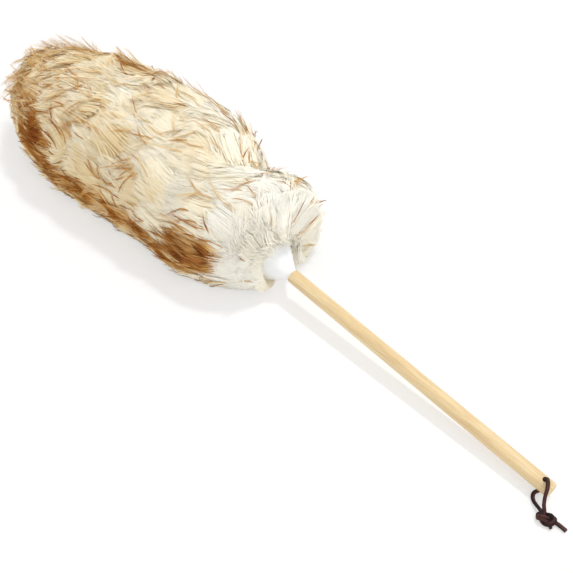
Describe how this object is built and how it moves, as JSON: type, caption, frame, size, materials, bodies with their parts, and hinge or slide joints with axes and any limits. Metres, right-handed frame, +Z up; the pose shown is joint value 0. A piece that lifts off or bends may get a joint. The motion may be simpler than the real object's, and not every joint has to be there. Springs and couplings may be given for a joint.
{
  "type": "lambswool duster",
  "caption": "Lambswool duster lying on its side: a long-haired fleece head on a core, a moulded cone collar, a wooden dowel handle and a leather hanging lace that swivels in its hole.",
  "frame": {"origin": "centre of the footprint of the duster without its lace, on the surface that it lies on", "axes": "+X along the duster from the woollen head towards the handle's tail, +Y across it, away from the side where the lace lies, +Z up from the surface"},
  "size_m": [0.7161, 0.1666, 0.1168],
  "materials": {
    "handle_wood": "pale sanded dowel, unvarnished",
    "collar_plastic": "white moulded plastic, satin",
    "core_plastic": "grey extruded plastic",
    "hide": "tanned skin side of the sheepskin",
    "staple_steel": "bright wire",
    "wool": "long cream wool with brown locks",
    "lace_leather": "dark brown leather lace"
  },
  "bodies": {
    "duster": {"handle": "handle_wood", "collar": "collar_plastic", "core_tube": "core_plastic", "tip_plug": "core_plastic", "hide_sleeve": "hide", "hide_staple_1": "staple_steel", "hide_staple_2": "staple_steel", "hide_staple_3": "staple_steel", "hide_staple_4": "staple_steel", "hide_staple_5": "staple_steel", "hide_staple_6": "staple_steel", "fleece": "wool"},
    "thong": {"thong_loop": "lace_leather", "thong_knot": "lace_leather", "thong_tail_long": "lace_leather", "thong_tail_short": "lace_leather"}
  },
  "joints": [
    {"name": "thong_swing", "type": "hinge", "parent": "duster", "child": "thong", "pos_m": [0.33692, 0.00172, 0.00995], "axis": [0.0523, 0, 0.9986], "range_deg": [-90, 180]}
  ]
}
